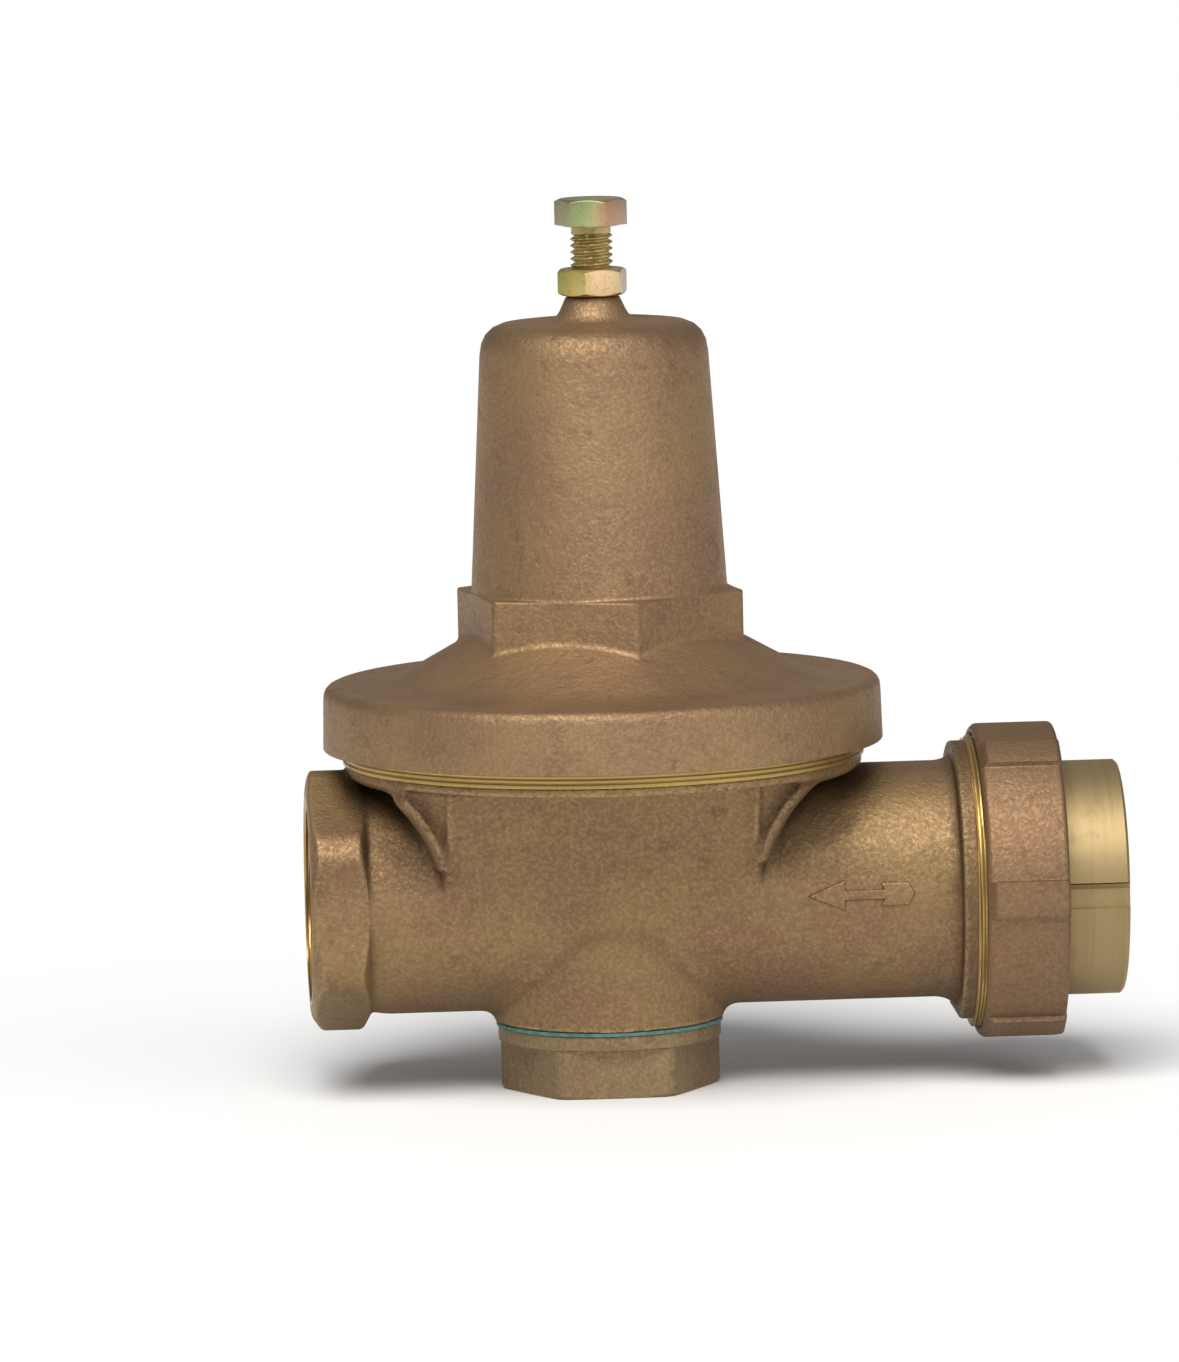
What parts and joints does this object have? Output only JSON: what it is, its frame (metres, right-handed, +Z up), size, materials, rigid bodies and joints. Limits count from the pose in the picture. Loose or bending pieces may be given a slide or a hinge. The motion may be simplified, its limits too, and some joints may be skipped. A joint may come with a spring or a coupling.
{
  "type": "pressure reducing valve",
  "caption": "Cast bronze pressure reducing valve with a screwed spring bonnet, adjusting bolt, strainer plug and union inlet for 2 inch water pipe.",
  "frame": {"origin": "centre of the outlet mouth, on the pipe axis", "axes": "+X along the pipe from the outlet to the inlet, +Z up the valve axis to the adjusting bolt, -Y towards the front panel"},
  "size_m": [0.2438, 0.1676, 0.2669],
  "materials": {
    "cast_bronze": "sand cast, matt",
    "plug_bronze": "sand cast, machined collar",
    "nut_bronze": "sand cast, matt",
    "turned_brass": "turned, satin",
    "yellow_zinc": "yellow zinc plate",
    "plain_steel": "plain",
    "spring_steel": "oiled",
    "stainless": "bright",
    "black_rubber": "matt",
    "teal_fibre": "matt",
    "grey_fibre": "matt"
  },
  "bodies": {
    "root": {"body": "cast_bronze", "bonnet": "cast_bronze", "slip_ring": "turned_brass", "diaphragm": "black_rubber", "seat_ring": "stainless", "seat_o_ring": "black_rubber", "strainer_screen": "stainless", "bottom_plug": "plug_bronze", "plug_gasket": "teal_fibre", "guide_o_ring": "black_rubber", "adjusting_spring": "spring_steel"},
    "button": {"spring_button": "plain_steel"},
    "bolt": {"adjusting_bolt": "yellow_zinc"},
    "jam_nut": {"lock_nut": "yellow_zinc"},
    "stem": {"stem": "turned_brass", "stem_nut": "plain_steel", "diaphragm_plate": "plain_steel", "diaphragm_washer": "turned_brass", "disc_holder": "turned_brass", "seat_disc": "black_rubber", "disc_retainer": "stainless", "disc_screw_nut": "plain_steel"},
    "tailpiece": {"union_tailpiece": "turned_brass", "union_gasket": "grey_fibre"},
    "coupling_nut": {"union_nut": "nut_bronze"}
  },
  "joints": [
    {"name": "bolt_feed", "type": "slide", "parent": "root", "child": "button", "axis": [0, 0, 1], "range_m": [-0.0098, 0.0059], "deforming": ["adjusting_spring"]},
    {"name": "bolt_turn", "type": "hinge", "parent": "button", "child": "bolt", "pos_m": [0.0896, 0, 0.16], "axis": [0, 0, 1], "range_deg": [-1800, 1080]},
    {"name": "lock_nut_turn", "type": "hinge", "parent": "root", "child": "jam_nut", "pos_m": [0.0896, 0, 0.18], "axis": [0, 0, 1], "range_deg": [0, 360]},
    {"name": "stem_lift", "type": "slide", "parent": "root", "child": "stem", "axis": [0, 0, 1], "range_m": [0, 0.008], "deforming": ["diaphragm"]},
    {"name": "union_travel", "type": "slide", "parent": "root", "child": "tailpiece", "axis": [1, 0, 0], "range_m": [0, 0.01]},
    {"name": "union_nut_turn", "type": "hinge", "parent": "tailpiece", "child": "coupling_nut", "pos_m": [0.215, 0, 0], "axis": [1, 0, 0], "range_deg": [0, 1620]}
  ],
  "couplings": [
    {"joint": "bolt_feed", "follows": "bolt_turn", "m_per_rad": 0.00031099},
    {"joint": "union_travel", "follows": "union_nut_turn", "m_per_rad": 0.00035157}
  ]
}
